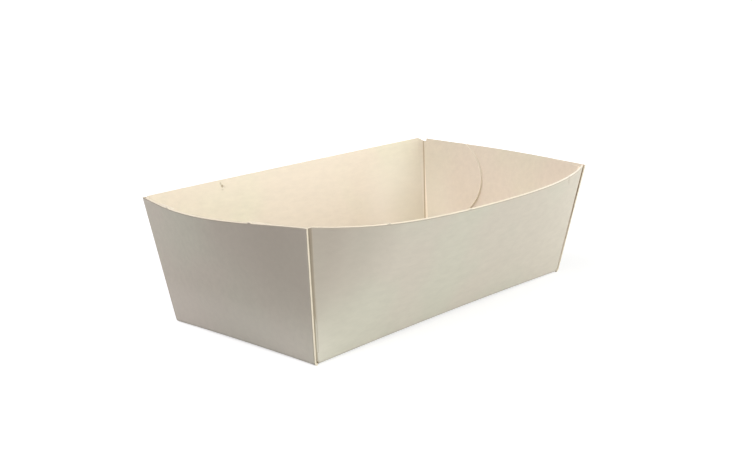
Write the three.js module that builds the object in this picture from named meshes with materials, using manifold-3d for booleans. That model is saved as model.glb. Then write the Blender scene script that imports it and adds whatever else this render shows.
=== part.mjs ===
// A takeaway food tray, folded and glued from one die-cut blank of thin paperboard.
// Millimetres. X runs along the tray, Y across it and Z up. The origin is under the middle of the base.

import * as THREE from 'three';
import { mergeVertices } from 'three/addons/utils/BufferGeometryUtils.js';
import Module from 'manifold-3d';

// Board
const boardThickness = 0.55;
const glueThickness = 0.06;

// Base panel, measured between its creases
const baseLength = 110;
const baseWidth = 53.6;
const sideCreaseRadius = 1.1;
const endCreaseRadius = 1;

// The board springs a little at its long creases, so the base touches the table on its flat middle
const sideCreaseLift = 0.6;
const endCreaseLift = 0.25;
const flatShareAcross = 0.45;
const flatShareAlong = 0.7;

// Walls: height at the corners, how far the corners stand out past the base, and how the rims bow
const wallHeight = 35.8;
const endFlare = 5.1;
const sideFlare = 5.6;
const sideBow = 8.8;
const endBow = 5.4;
const sideRimDip = 2.2;
const endRimDip = 0.7;
const sideFullness = 0.55;
const endFullness = -0.46;

// The long walls' ends fold round the corners behind the short walls
const cornerLegAtBase = 0.65;
const cornerLegAtRim = 1.05;
const creaseBead = 0.16;

// Glue tabs: a round nose, a straight run back to the foot of the corner, and a top edge cut low
const tabReach = 23.6;
const tabNoseRadius = 13;
const tabNoseHeight = 24.7;
const tabFootReach = 2.2;
const tabTopDrop = 1;
const tabDropLength = 14;
const glueInset = 2;
const glueBite = 0.15;
const glueBottom = 0.4;
const glueTop = 0.92;

// Round nubs that stick up from the rims where the blank was held in its sheet
const nubRadius = 0.7;
const nubRise = 0.3;
const nubInset = 0.05;

// Trims of the end panels' cut ends at the rim
const backLeftTrim = 0.3;
const backRightTrim = 2.2;

// Divisions of the board
const alongSteps = 22;
const acrossSteps = 16;
const heightSteps = 14;
const creaseSteps = 4;
const tabSteps = 6;
const nubSteps = 20;

// Each upper corner's own shift from its even place, as a share of the wall height, as the hand-folded
// tray stands
const corners = {
  frontLeft: { x: -1, y: -1, shift: new THREE.Vector3(-0.0251, 0.0349, 0.0196) },
  backLeft: { x: -1, y: 1, shift: new THREE.Vector3(0, -0.0028, -0.0112) },
  backRight: { x: 1, y: 1, shift: new THREE.Vector3(-0.0196, 0.0335, 0.0265) },
  frontRight: { x: 1, y: -1, shift: new THREE.Vector3(-0.0042, -0.0028, -0.0391) },
};

// Walls in order round the tray, so that along crossed with up points into the tray
const sideShape = {
  bow: sideBow, dip: sideRimDip, flare: sideFlare, fullness: sideFullness, lift: sideCreaseLift,
};
const endShape = {
  bow: endBow, dip: endRimDip, flare: endFlare, fullness: endFullness, lift: endCreaseLift,
};
const toFront = new THREE.Vector3(0, -1, 0);
const toLeft = new THREE.Vector3(-1, 0, 0);
const toBack = new THREE.Vector3(0, 1, 0);
const toRight = new THREE.Vector3(1, 0, 0);
const walls = {
  front: { ...sideShape, from: 'frontRight', to: 'frontLeft', lean: 0.14, out: toFront },
  left: { ...endShape, from: 'frontLeft', to: 'backLeft', lean: 0.19, out: toLeft },
  back: { ...sideShape, from: 'backLeft', to: 'backRight', lean: 0, out: toBack },
  right: { ...endShape, from: 'backRight', to: 'frontRight', lean: 0.03, out: toRight },
};
const endTrim = { frontLeft: 0, backLeft: backLeftTrim, backRight: backRightTrim, frontRight: 0 };

// Places of the nubs along the rims
const nubs = [
  [walls.left, -0.485],
  [walls.left, 0.495],
  [walls.front, 0.66],
  [walls.front, 0.163],
  [walls.front, -0.748],
];

const up = new THREE.Vector3(0, 0, 1);
const halfFlatLength = baseLength / 2 - endCreaseRadius;
const halfFlatWidth = baseWidth / 2 - sideCreaseRadius;
const tabDepth = boardThickness + glueThickness;

// Step for measuring slopes as a share of a wall, and the distance below which points are one, in mm
const slopeStep = 0.001;
const mergeDistance = 0.0001;

// Length of each leg of a corner fold, at height share k
function cornerLeg(k) {
  return THREE.MathUtils.lerp(cornerLegAtBase, cornerLegAtRim, k);
}

// Outer corner line of the tray, where the end panel's face meets the side wall's face
function cornerPoint(name, k) {
  const corner = corners[name];
  const x = corner.x * (baseLength / 2 + endFlare * k);
  const y = corner.y * (baseWidth / 2 + sideFlare * k);
  return new THREE.Vector3(x, y, wallHeight * k).addScaledVector(corner.shift, wallHeight * k);
}

// A side wall's flat board ends where its corner fold starts, inside the end panel
function wallEndPoint(wall, name, k) {
  const point = cornerPoint(name, k);
  if (wall.out.x === 0) {
    point.x -= corners[name].x * (tabDepth + cornerLeg(k));
  }
  return point;
}

// Outer face of a wall: s runs from -1 to 1 along it, and k from 0 at the crease to 1 at the rim
function wallPoint(wall, s, k) {
  const start = wallEndPoint(wall, wall.from, k);
  const end = wallEndPoint(wall, wall.to, k);
  const point = start.lerp(end, (s + 1) / 2);
  const swell = (1 - s * s) * (1 + wall.fullness * s * s + wall.lean * s);
  const outward = wall.bow - wall.dip * wall.flare / wallHeight;
  point.addScaledVector(wall.out, k * swell * outward);
  point.z -= k * swell * wall.dip;
  point.z += (1 - k) * (1 - s * s) * wall.lift;
  return point;
}

// Unit normal of a wall, pointing into the tray
function wallInward(wall, s, k) {
  const along = wallPoint(wall, s + slopeStep, k).sub(wallPoint(wall, s - slopeStep, k));
  const rise = wallPoint(wall, s, k + slopeStep).sub(wallPoint(wall, s, k - slopeStep));
  return along.cross(rise).normalize();
}

// A node is one place on the sheet, with its point on the outer face and its point on the inner face
function wallNode(wall, s, k, depth = 0, thickness = boardThickness) {
  const point = wallPoint(wall, s, k);
  const inward = wallInward(wall, s, k);
  return {
    outer: point.clone().addScaledVector(inward, depth),
    inner: point.clone().addScaledVector(inward, depth + thickness),
    inward,
  };
}

// Height of the base's underside: flat in the middle, rising to the sprung creases
function baseHeight(x, y) {
  const acrossShare = Math.abs(y) / halfFlatWidth;
  const alongShare = Math.abs(x) / halfFlatLength;
  const sideSpring = Math.max(0, 1 - alongShare * alongShare);
  const endSpring = Math.max(0, 1 - acrossShare * acrossShare);
  const sideRise = THREE.MathUtils.smoothstep(acrossShare, flatShareAcross, 1);
  const endRise = THREE.MathUtils.smoothstep(alongShare, flatShareAlong, 1);
  return sideCreaseLift * sideSpring * sideRise + endCreaseLift * endSpring * endRise;
}

function baseNode(x, y) {
  const outer = new THREE.Vector3(x, y, baseHeight(x, y));
  return { outer, inner: outer.clone().addScaledVector(up, boardThickness), inward: up };
}

// Round fold from node a to node b, whose flat boards would meet at the point tip on the outer face
function foldNode(a, b, tip, share, bead) {
  const bisector = a.inward.clone().add(b.inward);
  const innerTip = tip.clone().addScaledVector(bisector, boardThickness / (1 + a.inward.dot(b.inward)));
  const outer = new THREE.QuadraticBezierCurve3(a.outer, tip, b.outer).getPoint(share);
  const inner = new THREE.QuadraticBezierCurve3(a.inner, innerTip, b.inner).getPoint(share);
  inner.addScaledVector(bisector.normalize(), bead * Math.sin(Math.PI * share));
  return { outer, inner };
}

function shares(count) {
  return Array.from({ length: count + 1 }, (_, i) => i / count);
}

// A wall's board starts at the top of its base crease
function wallShare(wall, row) {
  const radius = wall.out.x === 0 ? sideCreaseRadius : endCreaseRadius;
  return THREE.MathUtils.lerp(radius / wallHeight, 1, row / heightSteps);
}

// Base panel
function basePanel() {
  return shares(alongSteps).map((u) => shares(acrossSteps).map((v) => {
    const x = THREE.MathUtils.lerp(-halfFlatLength, halfFlatLength, u);
    const y = THREE.MathUtils.lerp(-halfFlatWidth, halfFlatWidth, v);
    return baseNode(x, y);
  }));
}

// Crease between the base panel and a wall, for one place s along the wall
function creaseStrip(wall, s, base) {
  const foot = wallNode(wall, s, wallShare(wall, 0));
  const tip = wallPoint(wall, s, 0);
  return shares(creaseSteps).map((share) => foldNode(base, foot, tip, share, 0));
}

// Nodes of a wall above its crease strip, at the place that placeAt gives for each height share
function wallRows(wall, placeAt) {
  return shares(heightSteps).slice(1).map((_, i) => {
    const k = wallShare(wall, i + 1);
    return wallNode(wall, placeAt(k), k);
  });
}

// Side wall with its base crease, one strip of board for each step along the tray
function sidePanel(wall) {
  return shares(alongSteps).map((u) => {
    const s = 2 * u - 1;
    const base = baseNode(wall.out.y * s * halfFlatLength, wall.out.y * halfFlatWidth);
    return [...creaseStrip(wall, s, base), ...wallRows(wall, () => s)];
  });
}

// Places across the tray where the end panels are divided: the base panel's own, and the two cut ends
function endPlaces() {
  const inside = shares(acrossSteps).map((v) => (2 * v - 1) * halfFlatWidth / (baseWidth / 2));
  return [-1, ...inside, 1];
}

// End panel with its base crease; its cut ends lie flush with the side walls' outer faces
function endPanel(wall) {
  return endPlaces().map((place) => {
    const base = baseNode(wall.out.x * halfFlatLength, -wall.out.x * place * baseWidth / 2);
    return [...creaseStrip(wall, place, base), ...wallRows(wall, (k) => trimmedPlace(wall, place, k))];
  });
}

function trimmedPlace(wall, place, k) {
  const trimShare = (name) => endTrim[name] * k * k / (baseWidth / 2);
  const start = -1 + trimShare(wall.from);
  const end = 1 - trimShare(wall.to);
  return THREE.MathUtils.lerp(start, end, (place + 1) / 2);
}

// Distance from the tray's corner to a tab's free edge, at a height above the table
function tabEdge(height) {
  const noseCentre = tabReach - tabNoseRadius;
  const footHeight = sideCreaseRadius;
  const toCentre = new THREE.Vector2(noseCentre - tabFootReach, tabNoseHeight - footHeight);
  const lean = Math.atan2(toCentre.x, toCentre.y) + Math.asin(tabNoseRadius / toCentre.length());
  const run = Math.sqrt(toCentre.lengthSq() - tabNoseRadius ** 2);
  if (height < footHeight + run * Math.cos(lean)) {
    return tabFootReach + (height - footHeight) * Math.tan(lean);
  }
  const rise = height - tabNoseHeight;
  return noseCentre + Math.sqrt(Math.max(0, tabNoseRadius ** 2 - rise ** 2));
}

// A tab lies on its end panel's inner face, a glue film away; reach is measured from the tray's corner
function tabNode(wall, name, reach, k, depth = tabDepth, thickness = boardThickness) {
  const width = cornerPoint(wall.from, k).distanceTo(cornerPoint(wall.to, k));
  const fromStart = 2 * reach / width - 1;
  const s = name === wall.from ? fromStart : -fromStart;
  return wallNode(wall, s, k, depth, thickness);
}

// Corner fold at height share k: the side wall's last node, the tab's first, and where their faces meet
function cornerFold(side, end, name, k) {
  const sideEnd = name === side.from ? -1 : 1;
  const a = wallNode(side, sideEnd, k);
  const before = wallPoint(side, sideEnd * (1 - slopeStep), k);
  const tangent = wallPoint(side, sideEnd, k).sub(before).normalize();
  const corner = tabNode(end, name, 0, k);
  const leg = corner.outer.clone().sub(a.outer).dot(corner.inward) / tangent.dot(corner.inward);
  const tip = a.outer.clone().addScaledVector(tangent, leg);
  const reach = tip.distanceTo(corner.outer) + leg;
  return { a, b: tabNode(end, name, reach, k), tip, reach };
}

// The top edge of a corner fold and its tab is cut lower than the rim, and meets it further along
function topDrop(row, reach) {
  if (row < heightSteps) {
    return 0;
  }
  return tabTopDrop * Math.max(0, 1 - reach / tabDropLength) / wallHeight;
}

// Corner fold and glue tab, one strip of board for each step up the wall
function tabPanel(side, end, name) {
  return shares(heightSteps).map((_, row) => {
    const rowShare = wallShare(side, row);
    const start = cornerFold(side, end, name, rowShare).reach;
    const foldNodes = shares(creaseSteps).map((share) => {
      const k = rowShare - share * topDrop(row, start);
      const fold = cornerFold(side, end, name, k);
      return foldNode(fold.a, fold.b, fold.tip, share, creaseBead);
    });
    const tabNodes = shares(tabSteps).slice(1).map((share) => {
      const reach = THREE.MathUtils.lerp(start, tabEdge(rowShare * wallHeight), share);
      return tabNode(end, name, reach, rowShare - topDrop(row, reach));
    });
    return [...foldNodes, ...tabNodes];
  });
}

// Glue film between a tab and its end panel, biting a little into both
function glueFilm(side, end, name) {
  return shares(heightSteps / 2).map((v) => shares(tabSteps).map((u) => {
    const k = THREE.MathUtils.lerp(glueBottom, glueTop, v);
    const near = cornerFold(side, end, name, k).reach + glueInset;
    const reach = THREE.MathUtils.lerp(near, tabEdge(k * wallHeight) - glueInset, u);
    return tabNode(end, name, reach, k, boardThickness - glueBite, glueThickness + 2 * glueBite);
  }));
}

// Triangles of a grid's outer face, turned so that they look away from its inner face
function skinTriangles(grid) {
  const triangles = [];
  for (let i = 0; i + 1 < grid.length; i += 1) {
    for (let j = 0; j + 1 < grid[i].length; j += 1) {
      const [a, b, c, d] = [grid[i][j], grid[i + 1][j], grid[i + 1][j + 1], grid[i][j + 1]];
      triangles.push([a, b, c], [a, c, d]);
    }
  }
  const [a, b, c] = triangles[0];
  const normal = b.outer.clone().sub(a.outer).cross(c.outer.clone().sub(a.outer));
  const facesOut = normal.dot(a.outer.clone().sub(a.inner)) > 0;
  return facesOut ? triangles : triangles.map((triangle) => triangle.reverse());
}

// Key of a place on the sheet, alike for the nodes that two panels share
function nodeKey(node) {
  return node.outer.toArray().map((value) => value.toFixed(4)).join();
}

// Closed solid of the board: both faces of every panel, and a cut edge along every free edge
function sheetSolid(panels) {
  const skin = panels.flatMap(skinTriangles);
  const edges = new Map();
  for (const triangle of skin) {
    triangle.forEach((node, i) => {
      const next = triangle[(i + 1) % 3];
      edges.set(`${nodeKey(node)} ${nodeKey(next)}`, [node, next]);
    });
  }
  const points = skin.flatMap(([a, b, c]) => [a.outer, b.outer, c.outer, a.inner, c.inner, b.inner]);
  for (const [start, end] of edges.values()) {
    if (!edges.has(`${nodeKey(end)} ${nodeKey(start)}`)) {
      points.push(end.outer, start.outer, start.inner, end.outer, start.inner, end.inner);
    }
  }
  return mergeVertices(new THREE.BufferGeometry().setFromPoints(points), mergeDistance);
}

const wasm = await Module();
wasm.setup();

function solidOf(geometry) {
  const vertProperties = new Float32Array(geometry.attributes.position.array);
  const triVerts = new Uint32Array(geometry.index.array);
  return new wasm.Manifold(new wasm.Mesh({ numProp: 3, vertProperties, triVerts }));
}

function geometryOf(solid) {
  const mesh = solid.getMesh();
  const geometry = new THREE.BufferGeometry();
  geometry.setAttribute('position', new THREE.BufferAttribute(mesh.vertProperties, 3));
  geometry.setIndex(new THREE.BufferAttribute(mesh.triVerts, 1));
  return geometry;
}

// Nub at place s on a wall's rim: the upper part of a disc that stands in the board
function rimNub(wall, s) {
  const inward = wallInward(wall, s, 1);
  const along = wallPoint(wall, s + slopeStep, 1).sub(wallPoint(wall, s - slopeStep, 1)).normalize();
  const rise = inward.clone().cross(along);
  const centre = wallPoint(wall, s, 1)
    .addScaledVector(inward, boardThickness / 2)
    .addScaledVector(rise, nubRise - nubRadius);
  const place = new THREE.Matrix4().makeBasis(along, rise, inward).setPosition(centre);
  const thickness = boardThickness - 2 * nubInset;
  return wasm.Manifold.cylinder(thickness, nubRadius, nubRadius, nubSteps, true).transform(place.elements);
}

// The blank has two tabs on each side wall, and each is glued inside the end panel beside it
const tabs = [
  [walls.front, walls.left, 'frontLeft'],
  [walls.front, walls.right, 'frontRight'],
  [walls.back, walls.left, 'backLeft'],
  [walls.back, walls.right, 'backRight'],
];

function foldedTray() {
  const blank = sheetSolid([
    basePanel(),
    sidePanel(walls.front),
    sidePanel(walls.back),
    endPanel(walls.left),
    endPanel(walls.right),
    ...tabs.map((tab) => tabPanel(...tab)),
  ]);
  const films = tabs.map((tab) => solidOf(sheetSolid([glueFilm(...tab)])));
  const details = [...films, ...nubs.map((nub) => rimNub(...nub))];
  const tray = details.reduce((body, detail) => body.add(detail), solidOf(blank));
  const board = new THREE.MeshStandardMaterial({ color: '#e2d8c2', roughness: 0.85, metalness: 0 });
  const mesh = new THREE.Mesh(geometryOf(tray), board);
  mesh.name = 'folded_tray';
  return mesh;
}

const tray = new THREE.Group();
tray.add(foldedTray());

export default tray;
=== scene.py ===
import bpy
import bmesh
from math import cos, radians, sin
from mathutils import Matrix, Vector
from mathutils.bvhtree import BVHTree


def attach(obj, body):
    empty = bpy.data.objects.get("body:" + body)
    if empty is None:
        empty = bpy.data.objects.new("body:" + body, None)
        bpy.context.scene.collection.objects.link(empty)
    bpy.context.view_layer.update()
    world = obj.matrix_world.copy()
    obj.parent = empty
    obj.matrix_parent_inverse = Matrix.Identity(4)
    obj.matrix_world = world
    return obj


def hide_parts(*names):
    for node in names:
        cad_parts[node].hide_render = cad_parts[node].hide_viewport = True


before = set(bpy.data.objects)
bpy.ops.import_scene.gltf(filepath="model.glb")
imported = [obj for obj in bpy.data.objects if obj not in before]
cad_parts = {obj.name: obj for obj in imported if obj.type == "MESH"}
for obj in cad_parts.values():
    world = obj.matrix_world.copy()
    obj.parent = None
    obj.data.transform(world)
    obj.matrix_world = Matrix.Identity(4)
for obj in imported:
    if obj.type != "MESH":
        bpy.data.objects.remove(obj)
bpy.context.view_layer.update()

# The camera stands low in front of the tray's front left corner. It looks at both near walls, and over
# the rim at the far ones. Angles are in degrees from the tray's own axes, and lengths are in metres.
VIEW_AZIMUTH = -48.30
VIEW_ELEVATION = 14.07
VIEW_ROLL = -0.59
VIEW_DISTANCE = 0.3204
VIEW_SIDEWAYS = -0.00133
VIEW_RAISED = 0.01736
PHOTO_WIDTH = 752
FOCAL_PIXELS = 1075.8
SENSOR_WIDTH = 36.0
NEAR_CLIP = 0.01

azimuth = radians(VIEW_AZIMUTH)
elevation = radians(VIEW_ELEVATION)
roll = radians(VIEW_ROLL)
backward = Vector((sin(azimuth) * cos(elevation), -cos(azimuth) * cos(elevation), sin(elevation)))
level_right = Vector((0, 0, 1)).cross(backward).normalized()
level_up = backward.cross(level_right)
right = level_right * cos(roll) + level_up * sin(roll)
upward = level_up * cos(roll) - level_right * sin(roll)
eye = backward * VIEW_DISTANCE + level_right * VIEW_SIDEWAYS + level_up * VIEW_RAISED
camera_data = bpy.data.cameras.new("camera")
camera_data.sensor_width = SENSOR_WIDTH
camera_data.lens = FOCAL_PIXELS * SENSOR_WIDTH / PHOTO_WIDTH
camera_data.clip_start = NEAR_CLIP
camera = bpy.data.objects.new("camera", camera_data)
turn = Matrix((right, upward, backward)).transposed().to_4x4()
camera.matrix_world = Matrix.Translation(eye) @ turn
bpy.context.scene.collection.objects.link(camera)
bpy.context.scene.camera = camera

# The tray is one die-cut blank of paperboard, creased and folded up by hand. The ends of its long walls
# turn the corners and are glued inside the short walls, so it has no other pieces. The board is pale
# grey-cream outside, creamier inside, and shows its light pulp along every cut.
SAME_PLACE = 1e-7
SHARP_FOLD = radians(38)
UNDER_FACE = 2e-6
BEHIND_REACH = 0.0018
TRAY_HEART = Vector((0, 0, 0.02))
FOLD_SLANT = 0.3
FOLD_FACE_AREA = 1.2e-6
# The outer corner folds are browned partly by cracked board and partly by painted shade of their groove,
# in full at the near corner and weaker at the others.
FOLD_WEAR_AND_SHADE_NEAR = 1.0
FOLD_WEAR_AND_SHADE_ELSEWHERE = 0.3
RIM_BAND = 0.00035
BASE_CREASE_TOP = 0.003
FOLD_FOOT = 0.006
FOLD_TOP = 0.030
OUTSIDE, INSIDE, CUT, PRESSED_SHADE = 0, 1, 2, 3

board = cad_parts["folded_tray"].data.copy()
board.name = "paper_tray"
board.materials.clear()
sheet = bmesh.new()
sheet.from_mesh(board)
bmesh.ops.remove_doubles(sheet, verts=sheet.verts, dist=SAME_PLACE)
sheet.normal_update()
corner_fold = sheet.faces.layers.float.new("corner_fold")
tree = BVHTree.FromBMesh(sheet)

# A face with no other face close behind it is a cut edge. The small slanted faces are the corner folds.
for face in sheet.faces:
    centre = face.calc_center_median()
    behind = tree.ray_cast(centre - face.normal * UNDER_FACE, -face.normal, BEHIND_REACH)
    if behind[0] is None:
        face.material_index = CUT
    elif face.normal.dot(centre - TRAY_HEART) < 0:
        face.material_index = INSIDE
    else:
        face.material_index = OUTSIDE
    slant_x, slant_y = abs(face.normal.x), abs(face.normal.y)
    if face.calc_area() < FOLD_FACE_AREA and min(slant_x, slant_y) > FOLD_SLANT:
        near_corner = centre.x < 0 and centre.y < 0
        face[corner_fold] = FOLD_WEAR_AND_SHADE_NEAR if near_corner else FOLD_WEAR_AND_SHADE_ELSEWHERE
    face.smooth = True

# The pressed band runs along the border of the outside. It is darker partly because the cut crushed the
# board there, and partly as painted shade of the rounded edge. It leaves out the small faces above the
# base creases, which belong to the corner folds.
wide_faces = []
for face in sheet.faces:
    low_face = face.calc_center_median().z < BASE_CREASE_TOP
    flat_face = face.material_index == OUTSIDE and face[corner_fold] == 0
    if flat_face and (low_face or face.calc_area() > FOLD_FACE_AREA):
        wide_faces.append(face)
rim_band = bmesh.ops.inset_region(
    sheet, faces=wide_faces, thickness=RIM_BAND, depth=0, use_even_offset=False, use_boundary=False)
for face in rim_band["faces"]:
    face.material_index = PRESSED_SHADE
for edge in sheet.edges:
    edge.smooth = edge.calc_face_angle(0.0) < SHARP_FOLD

# Each inner corner fold gives a line for its crease: its foot, its top and the level way across it.
fold_places = set()
for face in sheet.faces:
    if face.material_index == INSIDE and face[corner_fold] > 0:
        fold_places.update(vert.co.copy().freeze() for vert in face.verts)
corner_lines = []
for side_x, side_y in [(-1, -1), (1, -1), (1, 1), (-1, 1)]:
    corner = [place for place in fold_places if place.x * side_x > 0 and place.y * side_y > 0]
    low = [place for place in corner if place.z < FOLD_FOOT]
    high = [place for place in corner if place.z > FOLD_TOP]
    foot = sum(low, Vector()) / len(low)
    top = sum(high, Vector()) / len(high)
    corner_lines.append((foot, top, Vector((side_x, -side_y, 0)).normalized()))

sheet.to_mesh(board)
sheet.free()
tray = bpy.data.objects.new("paper_tray", board)
bpy.context.scene.collection.objects.link(tray)
even_faces = tray.modifiers.new("even_faces", "WEIGHTED_NORMAL")
even_faces.keep_sharp = True

# The paper grain that all of the board shares: broad soft clouds where the pulp is warmer or cooler,
# fine fibres that run along the sheet, and a few brown specks of bark. Scales are in cells per metre,
# and the four MIX values are the sockets of a colour mix: its share, its two colours and its result.
MIX_SHARE, MIX_FIRST, MIX_SECOND, MIX_RESULT = 0, 6, 7, 2
CLOUD_SCALE = 30
CLOUD_DETAIL = 2.5
CLOUD_START = 0.38
CLOUD_FULL = 0.62
FIBRE_SCALE = 650
FIBRE_DETAIL = 4
FIBRE_ROUGHNESS = 0.65
FIBRE_STRETCH = (0.35, 1, 1)
FIBRE_DEPTH = 0.035
FIBRE_DARK = 0.3
FIBRE_LIGHT = 0.7
SPECK_SCALE = 170
SPECK_SIZE = 0.035
SPECK_RARITY = 0.72
SPECK_COLOUR = (0.36, 0.26, 0.16, 1)
GRAIN_SOCKETS = [
    ("Place", "Vector"), ("Pulp", "Color"), ("Tint", "Color"), ("Cloud", "Float"), ("Speck", "Float"),
]

grain = bpy.data.node_groups.new("paper_grain", "ShaderNodeTree")
for label, kind in GRAIN_SOCKETS:
    grain.interface.new_socket(label, in_out="INPUT", socket_type="NodeSocket" + kind)
for label, kind in [("Colour", "Color"), ("Height", "Float")]:
    grain.interface.new_socket(label, in_out="OUTPUT", socket_type="NodeSocket" + kind)
nodes, links = grain.nodes, grain.links
entry = nodes.new("NodeGroupInput")
result = nodes.new("NodeGroupOutput")
cloud = nodes.new("ShaderNodeTexNoise")
cloud.inputs["Scale"].default_value = CLOUD_SCALE
cloud.inputs["Detail"].default_value = CLOUD_DETAIL
links.new(entry.outputs["Place"], cloud.inputs["Vector"])
cloud_share = nodes.new("ShaderNodeMapRange")
cloud_share.interpolation_type = "SMOOTHSTEP"
cloud_share.inputs["From Min"].default_value = CLOUD_START
cloud_share.inputs["From Max"].default_value = CLOUD_FULL
links.new(cloud.outputs["Fac"], cloud_share.inputs["Value"])
links.new(entry.outputs["Cloud"], cloud_share.inputs["To Max"])
tinted = nodes.new("ShaderNodeMix")
tinted.data_type = "RGBA"
links.new(cloud_share.outputs["Result"], tinted.inputs[MIX_SHARE])
links.new(entry.outputs["Pulp"], tinted.inputs[MIX_FIRST])
links.new(entry.outputs["Tint"], tinted.inputs[MIX_SECOND])
along_sheet = nodes.new("ShaderNodeMapping")
along_sheet.inputs["Scale"].default_value = FIBRE_STRETCH
links.new(entry.outputs["Place"], along_sheet.inputs["Vector"])
fibres = nodes.new("ShaderNodeTexNoise")
fibres.inputs["Scale"].default_value = FIBRE_SCALE
fibres.inputs["Detail"].default_value = FIBRE_DETAIL
fibres.inputs["Roughness"].default_value = FIBRE_ROUGHNESS
links.new(along_sheet.outputs["Vector"], fibres.inputs["Vector"])
fibre_tone = nodes.new("ShaderNodeMapRange")
fibre_tone.inputs["From Min"].default_value = FIBRE_DARK
fibre_tone.inputs["From Max"].default_value = FIBRE_LIGHT
fibre_tone.inputs["To Min"].default_value = 1 - FIBRE_DEPTH
fibre_tone.inputs["To Max"].default_value = 1 + FIBRE_DEPTH
links.new(fibres.outputs["Fac"], fibre_tone.inputs["Value"])
fibred = nodes.new("ShaderNodeVectorMath")
fibred.operation = "SCALE"
links.new(tinted.outputs[MIX_RESULT], fibred.inputs[0])
links.new(fibre_tone.outputs["Result"], fibred.inputs["Scale"])
cells = nodes.new("ShaderNodeTexVoronoi")
cells.inputs["Scale"].default_value = SPECK_SCALE
links.new(entry.outputs["Place"], cells.inputs["Vector"])
small = nodes.new("ShaderNodeMath")
small.operation = "LESS_THAN"
small.inputs[1].default_value = SPECK_SIZE
links.new(cells.outputs["Distance"], small.inputs[0])
rare = nodes.new("ShaderNodeMath")
rare.operation = "GREATER_THAN"
rare.inputs[1].default_value = SPECK_RARITY
links.new(cells.outputs["Color"], rare.inputs[0])
speck = nodes.new("ShaderNodeMath")
speck.operation = "MULTIPLY"
links.new(small.outputs[0], speck.inputs[0])
links.new(rare.outputs[0], speck.inputs[1])
speck_share = nodes.new("ShaderNodeMath")
speck_share.operation = "MULTIPLY"
links.new(speck.outputs[0], speck_share.inputs[0])
links.new(entry.outputs["Speck"], speck_share.inputs[1])
specked = nodes.new("ShaderNodeMix")
specked.data_type = "RGBA"
specked.inputs[MIX_SECOND].default_value = SPECK_COLOUR
links.new(speck_share.outputs[0], specked.inputs[MIX_SHARE])
links.new(fibred.outputs["Vector"], specked.inputs[MIX_FIRST])
links.new(specked.outputs[MIX_RESULT], result.inputs["Colour"])
links.new(fibres.outputs["Fac"], result.inputs["Height"])

# A mark on the board: a soft-edged spot of another colour at one place, with its own half sizes. Small
# marks are dark dots, and large ones are painted shade or painted light, where the board looks duller or
# paler.
MARK_EDGE = 1.0
MARK_CORE = 0.4
MARK_SOCKETS = [
    ("Place", "Vector"), ("Spot", "Vector"), ("Reach", "Vector"),
    ("Before", "Color"), ("Stain", "Color"), ("Strength", "Float"),
]

mark = bpy.data.node_groups.new("mark_or_painted_light", "ShaderNodeTree")
for label, kind in MARK_SOCKETS:
    mark.interface.new_socket(label, in_out="INPUT", socket_type="NodeSocket" + kind)
mark.interface.new_socket("Colour", in_out="OUTPUT", socket_type="NodeSocketColor")
nodes, links = mark.nodes, mark.links
entry = nodes.new("NodeGroupInput")
result = nodes.new("NodeGroupOutput")
offset = nodes.new("ShaderNodeVectorMath")
offset.operation = "SUBTRACT"
links.new(entry.outputs["Place"], offset.inputs[0])
links.new(entry.outputs["Spot"], offset.inputs[1])
relative = nodes.new("ShaderNodeVectorMath")
relative.operation = "DIVIDE"
links.new(offset.outputs["Vector"], relative.inputs[0])
links.new(entry.outputs["Reach"], relative.inputs[1])
away = nodes.new("ShaderNodeVectorMath")
away.operation = "LENGTH"
links.new(relative.outputs["Vector"], away.inputs[0])
soft = nodes.new("ShaderNodeMapRange")
soft.interpolation_type = "SMOOTHSTEP"
soft.inputs["From Min"].default_value = MARK_EDGE
soft.inputs["From Max"].default_value = MARK_CORE
links.new(away.outputs["Value"], soft.inputs["Value"])
links.new(entry.outputs["Strength"], soft.inputs["To Max"])
stained = nodes.new("ShaderNodeMix")
stained.data_type = "RGBA"
links.new(soft.outputs["Result"], stained.inputs[MIX_SHARE])
links.new(entry.outputs["Before"], stained.inputs[MIX_FIRST])
links.new(entry.outputs["Stain"], stained.inputs[MIX_SECOND])
links.new(stained.outputs[MIX_RESULT], result.inputs["Colour"])

# The corner folds inside the tray: a thin dark line of painted shade on the long wall's side of the fold,
# and a light line of painted highlight beside it on the tab's side, as if a raised crease were lit from
# one side.
# The tones multiply the board's colour, from one side of the crease (0) to the other (1).
CREASE_REACH = 0.0012
PLAIN_BOARD = (1, 1, 1, 1)
CREASE_SHADE_DARK = (0.66, 0.57, 0.46, 1)
CREASE_HIGHLIGHT = (1.22, 1.2, 1.2, 1)
CREASE_TONES = [
    (0.30, PLAIN_BOARD), (0.40, CREASE_SHADE_DARK), (0.49, CREASE_SHADE_DARK),
    (0.54, CREASE_HIGHLIGHT), (0.84, CREASE_HIGHLIGHT), (0.92, PLAIN_BOARD),
]
CREASE_SOCKETS = [
    ("Place", "Vector"), ("Foot", "Vector"), ("Rise", "Vector"), ("Across", "Vector"), ("Before", "Color"),
]

crease = bpy.data.node_groups.new("corner_crease", "ShaderNodeTree")
for label, kind in CREASE_SOCKETS:
    crease.interface.new_socket(label, in_out="INPUT", socket_type="NodeSocket" + kind)
crease.interface.new_socket("Colour", in_out="OUTPUT", socket_type="NodeSocketColor")
nodes, links = crease.nodes, crease.links
entry = nodes.new("NodeGroupInput")
result = nodes.new("NodeGroupOutput")
offset = nodes.new("ShaderNodeVectorMath")
offset.operation = "SUBTRACT"
links.new(entry.outputs["Place"], offset.inputs[0])
links.new(entry.outputs["Foot"], offset.inputs[1])
slanted = nodes.new("ShaderNodeVectorMath")
slanted.operation = "CROSS_PRODUCT"
links.new(offset.outputs["Vector"], slanted.inputs[0])
links.new(entry.outputs["Rise"], slanted.inputs[1])
away = nodes.new("ShaderNodeVectorMath")
away.operation = "LENGTH"
links.new(slanted.outputs["Vector"], away.inputs[0])
near = nodes.new("ShaderNodeMath")
near.operation = "LESS_THAN"
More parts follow.
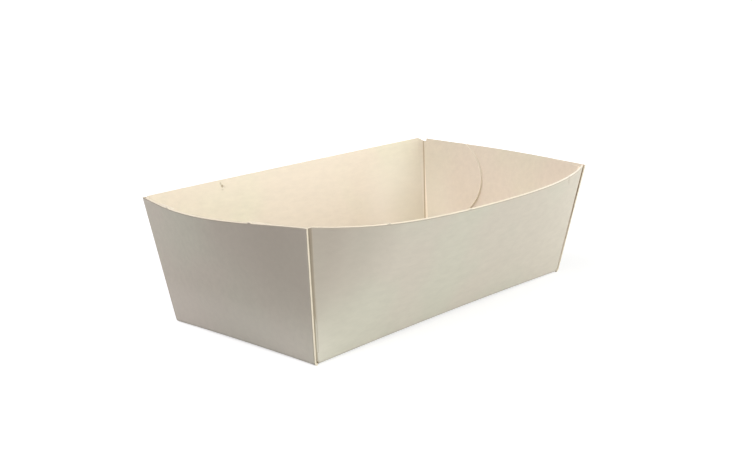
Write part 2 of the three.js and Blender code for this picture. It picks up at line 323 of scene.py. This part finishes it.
near.inputs[1].default_value = CREASE_REACH
links.new(away.outputs["Value"], near.inputs[0])
aside = nodes.new("ShaderNodeVectorMath")
aside.operation = "DOT_PRODUCT"
links.new(offset.outputs["Vector"], aside.inputs[0])
links.new(entry.outputs["Across"], aside.inputs[1])
share = nodes.new("ShaderNodeMapRange")
share.inputs["From Min"].default_value = -CREASE_REACH
share.inputs["From Max"].default_value = CREASE_REACH
links.new(aside.outputs["Value"], share.inputs["Value"])
tone = nodes.new("ShaderNodeValToRGB")
stops = tone.color_ramp.elements
for index, (position, colour) in enumerate(CREASE_TONES):
    if index == len(stops):
        stops.new(position)
    stops[index].position = position
    stops[index].color = colour
links.new(share.outputs["Result"], tone.inputs["Fac"])
toned = nodes.new("ShaderNodeMix")
toned.data_type = "RGBA"
toned.blend_type = "MULTIPLY"
links.new(near.outputs[0], toned.inputs[MIX_SHARE])
links.new(entry.outputs["Before"], toned.inputs[MIX_FIRST])
links.new(tone.outputs["Color"], toned.inputs[MIX_SECOND])
links.new(toned.outputs[MIX_RESULT], result.inputs["Colour"])

# The four kinds of face on the board: its outside, its inside, its cut edges, and the band under the rim
# that the cutting pressed, whose darker colour is partly painted shade. Each has its own pulp and tint,
# tone of its corner folds (partly painted shade), roughness and marks, some of which are painted shade or
# light.
# A mark is its place, its half sizes, its colour and its strength.
FIBRE_RELIEF = 0.00002
RELIEF_STRENGTH = 0.5
PAPER_SHEEN = 0.3
DOT_BROWN = (0.32, 0.25, 0.15, 1)
# The four colours below are painted: shade at the top of the front left corner, and light on the foot of
# the left wall, in the back right corner and along the cut edges towards the right end.
NEAR_CORNER_SHADE_GREY = (0.43, 0.375, 0.315, 1)
FOOT_LIGHT_PALE = (0.86, 0.80, 0.72, 1)
BACK_CORNER_LIGHT_PALE = (0.93, 0.87, 0.76, 1)
CUT_LIGHT_PALE = (0.90, 0.85, 0.73, 1)
BOARD_FACES = [
    {
        "name": "outside_face", "pulp": (0.645, 0.624, 0.524, 1), "tint": (0.660, 0.606, 0.520, 1),
        "cloud": 0.9, "speck": 0.25, "roughness": 0.72, "fold": (0.72, 0.64, 0.54, 1), "crease_shaded": False,
        "marks": [
            # Painted shade on the top of the front left corner, painted light on the foot of the left
            # wall, and three short strokes under the front rim.
            ((-0.0605, -0.0325, 0.033), (0.013, 0.024, 0.028), NEAR_CORNER_SHADE_GREY, 0.32),
            ((-0.0605, -0.0325, 0.033), (0.030, 0.044, 0.034), NEAR_CORNER_SHADE_GREY, 0.36),
            ((-0.0550, 0.0050, 0.001), (0.010, 0.048, 0.017), FOOT_LIGHT_PALE, 0.3),
            ((0.0439, -0.0364, 0.0326), (0.0004, 0.001, 0.0006), DOT_BROWN, 0.4),
            ((0.0445, -0.0360, 0.0319), (0.0004, 0.001, 0.0006), DOT_BROWN, 0.45),
            ((0.0452, -0.0357, 0.0312), (0.0004, 0.001, 0.0006), DOT_BROWN, 0.4),
        ],
    },
    {
        "name": "inside_face", "pulp": (0.737, 0.688, 0.548, 1), "tint": (0.765, 0.676, 0.562, 1),
        "cloud": 0.9, "speck": 0.3, "roughness": 0.7, "fold": (1, 1, 1, 1), "crease_shaded": True,
        "marks": [
            # Painted light in the back right corner, where the walls' own shade would fall, and four dots
            # under the back rim.
            ((0.0480, 0.0300, 0.010), (0.024, 0.022, 0.030), BACK_CORNER_LIGHT_PALE, 0.5),
            ((-0.02689, 0.03921, 0.03300), (0.0005, 0.001, 0.0006), DOT_BROWN, 0.45),
            ((-0.02653, 0.03891, 0.03224), (0.0007, 0.001, 0.0006), DOT_BROWN, 0.8),
            ((-0.02565, 0.03881, 0.03195), (0.0004, 0.001, 0.0006), DOT_BROWN, 0.2),
            ((-0.02680, 0.03850, 0.03128), (0.0006, 0.001, 0.0003), DOT_BROWN, 0.25),
        ],
    },
    {
        "name": "cut_edge", "pulp": (0.79, 0.72, 0.58, 1), "tint": (0.76, 0.68, 0.54, 1),
        "cloud": 0.6, "speck": 0.5, "roughness": 0.9, "fold": (1, 1, 1, 1), "crease_shaded": False,
        "marks": [
            # Painted light on the cut edges towards the right end, and a dark dot on the rim's back left
            # corner.
            ((0.0550, -0.0100, 0.030), (0.062, 0.070, 0.060), CUT_LIGHT_PALE, 0.8),
            ((-0.0603, 0.0305, 0.0354), (0.0008, 0.0006, 0.0006), DOT_BROWN, 1.0),
        ],
    },
    {
        # Its darker pulp is partly board crushed by the cut and partly painted shade of the rounded edge.
        "name": "pressed_and_shaded_band", "pulp": (0.54, 0.50, 0.41, 1), "tint": (0.55, 0.48, 0.40, 1),
        "cloud": 0.9, "speck": 0.25, "roughness": 0.72, "fold": (1, 1, 1, 1), "crease_shaded": False,
        "marks": [],
    },
]
for side in BOARD_FACES:
    paper = bpy.data.materials.new(side["name"])
    paper.use_nodes = True
    nodes, links = paper.node_tree.nodes, paper.node_tree.links
    shader = nodes["Principled BSDF"]
    shader.inputs["Roughness"].default_value = side["roughness"]
    shader.inputs["Specular IOR Level"].default_value = PAPER_SHEEN
    place = nodes.new("ShaderNodeTexCoord")
    surface = nodes.new("ShaderNodeGroup")
    surface.node_tree = grain
    surface.inputs["Pulp"].default_value = side["pulp"]
    surface.inputs["Tint"].default_value = side["tint"]
    surface.inputs["Cloud"].default_value = side["cloud"]
    surface.inputs["Speck"].default_value = side["speck"]
    links.new(place.outputs["Object"], surface.inputs["Place"])
    # The corner folds' tone multiplies the colour: partly cracked board, partly painted shade.
    folded = nodes.new("ShaderNodeAttribute")
    folded.attribute_name = "corner_fold"
    worn_and_shaded = nodes.new("ShaderNodeMix")
    worn_and_shaded.data_type = "RGBA"
    worn_and_shaded.blend_type = "MULTIPLY"
    worn_and_shaded.inputs[MIX_SECOND].default_value = side["fold"]
    links.new(folded.outputs["Fac"], worn_and_shaded.inputs[MIX_SHARE])
    links.new(surface.outputs["Colour"], worn_and_shaded.inputs[MIX_FIRST])
    colour = worn_and_shaded.outputs[MIX_RESULT]
    for spot, reach, stain, strength in side["marks"]:
        dot_or_light = nodes.new("ShaderNodeGroup")
        dot_or_light.node_tree = mark
        dot_or_light.inputs["Spot"].default_value = spot
        dot_or_light.inputs["Reach"].default_value = reach
        dot_or_light.inputs["Stain"].default_value = stain
        dot_or_light.inputs["Strength"].default_value = strength
        links.new(place.outputs["Object"], dot_or_light.inputs["Place"])
        links.new(colour, dot_or_light.inputs["Before"])
        colour = dot_or_light.outputs["Colour"]
    if side["crease_shaded"]:
        for foot, top, across in corner_lines:
            crease_shading = nodes.new("ShaderNodeGroup")
            crease_shading.node_tree = crease
            crease_shading.inputs["Foot"].default_value = foot
            crease_shading.inputs["Rise"].default_value = (top - foot).normalized()
            crease_shading.inputs["Across"].default_value = across
            links.new(place.outputs["Object"], crease_shading.inputs["Place"])
            links.new(colour, crease_shading.inputs["Before"])
            colour = crease_shading.outputs["Colour"]
    links.new(colour, shader.inputs["Base Color"])
    relief = nodes.new("ShaderNodeBump")
    relief.inputs["Strength"].default_value = RELIEF_STRENGTH
    relief.inputs["Distance"].default_value = FIBRE_RELIEF
    links.new(surface.outputs["Height"], relief.inputs["Height"])
    links.new(relief.outputs["Normal"], shader.inputs["Normal"])
    board.materials.append(paper)
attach(tray, "root")
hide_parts("folded_tray")

# A pale studio floor under the tray. It keeps the tray's soft shadow, and looks white further away, like
# the surroundings. It glows only where it is seen, straight or mirrored, so the glow adds no soft light.
FLOOR_HALF_SIZE = 4.0
FLOOR_COLOUR = (0.4, 0.4, 0.4, 1)
FLOOR_ROUGHNESS = 0.9
WHITE = (1, 1, 1, 1)
SHADOW_GLOW = 0.68
SHADOW_REACH = 0.16
GLOW_REACH = 0.4


def seen_share(nodes, links):
    """A node that gives 1 where the camera looks, straight, mirrored or through, and 0 for other light."""
    path = nodes.new("ShaderNodeLightPath")
    mirrored = nodes.new("ShaderNodeMath")
    mirrored.operation = "MAXIMUM"
    links.new(path.outputs["Is Glossy Ray"], mirrored.inputs[0])
    links.new(path.outputs["Is Transmission Ray"], mirrored.inputs[1])
    seen = nodes.new("ShaderNodeMath")
    seen.operation = "MAXIMUM"
    links.new(path.outputs["Is Camera Ray"], seen.inputs[0])
    links.new(mirrored.outputs[0], seen.inputs[1])
    return seen


floor_mesh = bpy.data.meshes.new("floor")
floor_shape = bmesh.new()
bmesh.ops.create_grid(floor_shape, x_segments=1, y_segments=1, size=FLOOR_HALF_SIZE)
floor_shape.to_mesh(floor_mesh)
floor_shape.free()
floor = bpy.data.objects.new("floor", floor_mesh)
bpy.context.scene.collection.objects.link(floor)
floor_paint = bpy.data.materials.new("pale_floor")
floor_paint.use_nodes = True
nodes, links = floor_paint.node_tree.nodes, floor_paint.node_tree.links
shader = nodes["Principled BSDF"]
shader.inputs["Base Color"].default_value = FLOOR_COLOUR
shader.inputs["Roughness"].default_value = FLOOR_ROUGHNESS
shader.inputs["Emission Color"].default_value = WHITE
seen = seen_share(nodes, links)
place = nodes.new("ShaderNodeTexCoord")
away = nodes.new("ShaderNodeVectorMath")
away.operation = "LENGTH"
links.new(place.outputs["Object"], away.inputs[0])
glow = nodes.new("ShaderNodeMapRange")
glow.interpolation_type = "SMOOTHSTEP"
glow.inputs["From Min"].default_value = SHADOW_REACH
glow.inputs["From Max"].default_value = GLOW_REACH
glow.inputs["To Min"].default_value = SHADOW_GLOW
glow.inputs["To Max"].default_value = 1.0
links.new(away.outputs["Value"], glow.inputs["Value"])
shown = nodes.new("ShaderNodeMath")
shown.operation = "MULTIPLY"
links.new(seen.outputs[0], shown.inputs[0])
links.new(glow.outputs["Result"], shown.inputs[1])
links.new(shown.outputs[0], shader.inputs["Emission Strength"])
floor_mesh.materials.append(floor_paint)

# Plain white surroundings. They light the tray weakly and evenly from all sides, and look pure white
# behind it.
SURROUND_LIGHT = 0.25

world = bpy.data.worlds.new("studio")
bpy.context.scene.world = world
world.use_nodes = True
nodes, links = world.node_tree.nodes, world.node_tree.links
seen = seen_share(nodes, links)
level = nodes.new("ShaderNodeMapRange")
level.inputs["To Min"].default_value = SURROUND_LIGHT
level.inputs["To Max"].default_value = 1.0
links.new(seen.outputs[0], level.inputs["Value"])
links.new(level.outputs["Result"], nodes["Background"].inputs["Strength"])
nodes["Background"].inputs["Color"].default_value = WHITE

# Soft square lamps round the tray, aimed at its middle. Each has its place in metres, its power in watts
# and its own white: slightly yellow-green for those in front, right and above, and slightly pink for those
# on the left.
LAMP_WIDTH = 0.9
FRONT_WHITE = (0.99, 1.0, 0.97)
LEFT_WHITE = (1.0, 0.962, 1.0)
LAMPS = [
    ("front_lamp", (0.427, -1.174, 0.358), 10.8, FRONT_WHITE),
    ("right_lamp", (0.892, -0.892, 0.314), 5.4, FRONT_WHITE),
    ("high_front_lamp", (0.106, -0.601, 1.148), 1.6, FRONT_WHITE),
    ("top_lamp", (0.0, -0.02, 1.3), 1.0, FRONT_WHITE),
    ("high_left_lamp", (-0.678, 0.12, 1.102), 9.2, LEFT_WHITE),
    ("back_left_lamp", (-0.709, 0.845, 0.689), 3.7, LEFT_WHITE),
]
for name, spot, watts, colour in LAMPS:
    lamp_data = bpy.data.lights.new(name, "AREA")
    lamp_data.size = LAMP_WIDTH
    lamp_data.energy = watts
    lamp_data.color = colour
    lamp = bpy.data.objects.new(name, lamp_data)
    aim = (TRAY_HEART - Vector(spot)).to_track_quat("-Z", "Y")
    lamp.matrix_world = Matrix.Translation(Vector(spot)) @ aim.to_matrix().to_4x4()
    bpy.context.scene.collection.objects.link(lamp)

# The picture shows each colour as it is lit, without a film's curve.
bpy.context.scene.view_settings.view_transform = "Standard"
